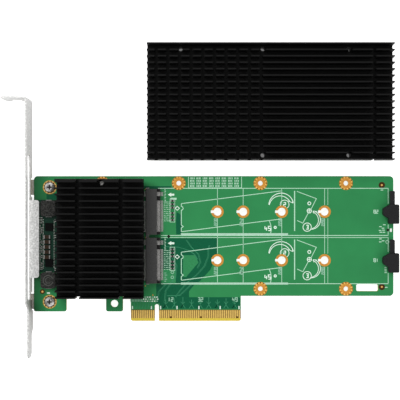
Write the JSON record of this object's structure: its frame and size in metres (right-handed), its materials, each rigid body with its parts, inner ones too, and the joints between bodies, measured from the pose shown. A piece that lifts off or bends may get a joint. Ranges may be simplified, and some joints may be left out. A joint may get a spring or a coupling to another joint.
{
  "type": "nvme raid controller card",
  "caption": "Low-profile expansion card with a drive controller under a finned heatsink, drive slots and their heatsink laid beside it.",
  "frame": {"origin": "on the board's mid-plane, at the foot of the edge connector, in the middle of its key notch", "axes": "+X along the card away from the bracket, +Y up the card from the edge connector, +Z out of the component side"},
  "size_m": [0.1836, 0.1453, 0.0184],
  "materials": {
    "solder_mask": "green solder mask over laminate, satin gloss",
    "gold": "hard gold plating, polished",
    "copper_pad": "gold-flashed copper, semi-gloss",
    "bracket_steel": "zinc-plated steel sheet, fine mottle",
    "screw_steel": "nickel-plated steel, bright",
    "black_anodised": "black anodised aluminium, fine matt",
    "chip_plastic": "black moulded epoxy, matt",
    "thermal_pad": "soft grey silicone pad",
    "connector_plastic": "dark grey glass-filled nylon",
    "tinned": "matt tin",
    "clip_plastic": "black nylon, satin",
    "inductor_body": "pressed iron powder, mottled grey",
    "ceramic_brown": "fired brown ceramic",
    "ceramic_dark": "dark ceramic",
    "light_lens": "white diffusing resin"
  },
  "bodies": {
    "root": {"circuit_board": "solder_mask", "edge_contacts_front": "gold", "edge_contacts_back": "gold", "star_pads": "copper_pad", "keyhole_rings": "copper_pad", "copper_dots": "copper_pad", "bracket": "bracket_steel", "bracket_screws": "screw_steel", "controller_heatsink": "black_anodised", "controller_heatsink_screws": "screw_steel", "controller_package": "chip_plastic", "controller_thermal_pad": "thermal_pad", "drive_heatsink": "black_anodised", "drive_thermal_pads": "thermal_pad", "upper_drive_connector": "connector_plastic", "lower_drive_connector": "connector_plastic", "upper_drive_contacts": "tinned", "lower_drive_contacts": "tinned", "upper_connector_anchors": "tinned", "lower_connector_anchors": "tinned", "upper_retainer_clip": "clip_plastic", "lower_retainer_clip": "clip_plastic", "power_inductors": "inductor_body", "inductor_terminals": "tinned", "voltage_regulators": "chip_plastic", "firmware_memory": "chip_plastic", "clock_generator": "chip_plastic", "output_capacitors": "ceramic_brown", "output_capacitor_ends": "tinned", "coupling_capacitors": "ceramic_dark", "coupling_capacitor_ends": "tinned", "feedback_resistors": "ceramic_dark", "feedback_resistor_ends": "tinned", "back_capacitors": "ceramic_brown", "back_capacitor_ends": "tinned", "activity_light": "light_lens"}
  },
  "joints": []
}
